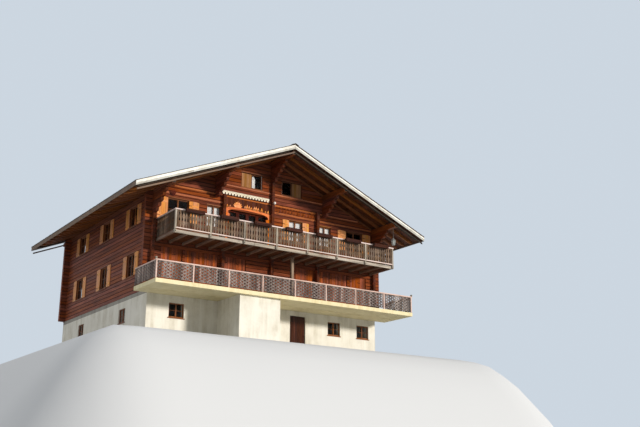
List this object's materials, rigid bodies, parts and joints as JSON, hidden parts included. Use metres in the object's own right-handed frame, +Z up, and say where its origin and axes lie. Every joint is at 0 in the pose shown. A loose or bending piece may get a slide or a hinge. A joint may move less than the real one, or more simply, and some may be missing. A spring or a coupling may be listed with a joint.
{
  "type": "alpine chalet",
  "caption": "Alpine log chalet on a rendered ground storey, with two fretwork balconies, a carved arch and a deep low pitched roof.",
  "frame": {"origin": "centre of the house's plan, at the underside of the ground floor", "axes": "+X to the right along the front seen from outside, +Y from the front into the house, +Z up"},
  "size_m": [17.2, 15.15, 10.659],
  "materials": {
    "render": "matte",
    "concrete": "matte",
    "cream_paint": "matte",
    "log_wall": "satin",
    "dark_logs": "satin",
    "roof_timber": "satin",
    "weathered_board": "matte",
    "shingles": "matte",
    "pale_paint": "matte",
    "grey_timber": "matte",
    "rail_paint": "satin",
    "fretwork_brown": "matte",
    "fretwork_grey": "matte",
    "floor_boards": "matte",
    "frame_wood": "satin",
    "shutter_wood": "satin",
    "plank_wood": "satin",
    "dark_planks": "matte",
    "orange_carving": "satin",
    "cream_carving": "matte",
    "window_glass": "gloss",
    "curtain_cloth": "matte",
    "lantern_metal": "satin",
    "basket_paint": "matte",
    "lamp_glass": "gloss"
  },
  "bodies": {
    "root": {"ground_floor": "concrete", "ground_front_wall": "render", "ground_back_wall": "render", "ground_left_wall": "render", "ground_right_wall": "render", "porch_walls": "render", "cellar_door": "dark_planks", "first_floor": "concrete", "lower_balcony_slab": "cream_paint", "front_lower_wall": "log_wall", "front_upper_wall": "log_wall", "front_gable": "log_wall", "back_lower_wall": "log_wall", "back_upper_wall": "log_wall", "back_gable": "log_wall", "left_lower_wall": "log_wall", "left_upper_wall": "log_wall", "right_lower_wall": "log_wall", "right_upper_wall": "log_wall", "upper_floor": "floor_boards", "attic_floor": "floor_boards", "log_ends": "dark_logs", "purlins": "roof_timber", "rafters": "roof_timber", "purlin_end_boards": "weathered_board", "roof_boarding": "roof_timber", "roof_covering": "shingles", "ridge_cap": "shingles", "barge_boards": "pale_paint", "eave_boards": "weathered_board", "balcony_joists": "dark_logs", "balcony_floor": "floor_boards", "balcony_fascia": "grey_timber", "balcony_post": "grey_timber", "railing_posts": "grey_timber", "railing_rails": "rail_paint", "railing_fretwork": "fretwork_brown", "flower_boxes": "dark_planks", "lower_railing_posts": "grey_timber", "lower_railing_rails": "rail_paint", "lower_railing_fretwork": "fretwork_grey", "window_frames": "frame_wood", "window_glass": "window_glass", "shutters": "shutter_wood", "plank_doors": "plank_wood", "curtains": "curtain_cloth", "string_courses": "roof_timber", "arch_board": "orange_carving", "lambrequin": "cream_carving", "loggia_doors": "dark_planks", "hanging_lantern": "lantern_metal", "hanging_basket": "basket_paint", "wall_lamp": "lamp_glass"}
  },
  "joints": []
}
